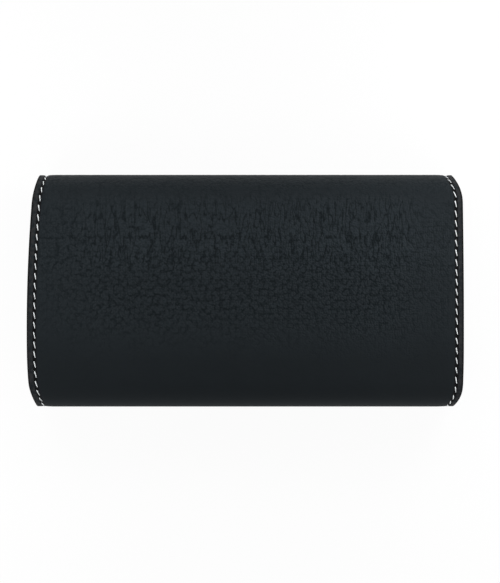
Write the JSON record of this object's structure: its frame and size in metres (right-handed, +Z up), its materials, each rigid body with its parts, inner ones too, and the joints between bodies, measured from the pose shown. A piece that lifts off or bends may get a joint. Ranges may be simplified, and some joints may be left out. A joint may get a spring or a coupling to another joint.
{
  "type": "leather ever ready case",
  "caption": "Flat black leather case for a folding camera: an open tray with end gussets and a full-length cover that folds at the spine and closes with hidden magnets.",
  "frame": {"origin": "on the surface that the case lies on, under the middle of its outline", "axes": "+X to the right along the case's length, +Y to the spine where the cover folds, +Z up from the back panel to the cover's face"},
  "size_m": [0.2184, 0.1166, 0.0394],
  "materials": {
    "black_leather": "pebbled, satin, bluish black",
    "gusset_leather": "fine grain, satin black",
    "suede_lining": "matte charcoal suede",
    "pad_suede": "matte charcoal suede, soft",
    "fibre_board": "bonded leather fibre board, matte",
    "magnet_nickel": "nickel plated",
    "sewing_thread": "waxed off-white thread"
  },
  "bodies": {
    "tray": {"tray_leather": "black_leather", "tray_lining": "suede_lining", "tray_board_front": "fibre_board", "tray_board_back": "fibre_board", "tray_board_rear": "fibre_board", "base_pad": "pad_suede", "gusset_left_leather": "gusset_leather", "gusset_left_board": "fibre_board", "gusset_left_lining": "suede_lining", "gusset_left_seam": "sewing_thread", "gusset_right_leather": "gusset_leather", "gusset_right_board": "fibre_board", "gusset_right_lining": "suede_lining", "gusset_right_seam": "sewing_thread", "tray_magnet_left": "magnet_nickel", "tray_magnet_right": "magnet_nickel", "tray_seam_left": "sewing_thread", "tray_seam_right": "sewing_thread", "tray_seam_mouth": "sewing_thread"},
    "cover": {"cover_leather": "black_leather", "cover_lining": "suede_lining", "cover_board_spine": "fibre_board", "cover_board_top": "fibre_board", "cover_board_lip": "fibre_board", "cover_pad": "pad_suede", "cover_magnet_left": "magnet_nickel", "cover_magnet_right": "magnet_nickel", "cover_seam_left": "sewing_thread", "cover_seam_right": "sewing_thread", "cover_seam_lip": "sewing_thread"}
  },
  "joints": [
    {"name": "cover_fold", "type": "hinge", "parent": "tray", "child": "cover", "pos_m": [0, 0.05747, 0.02607], "axis": [-1, 0, 0], "range_deg": [0, 178]}
  ]
}
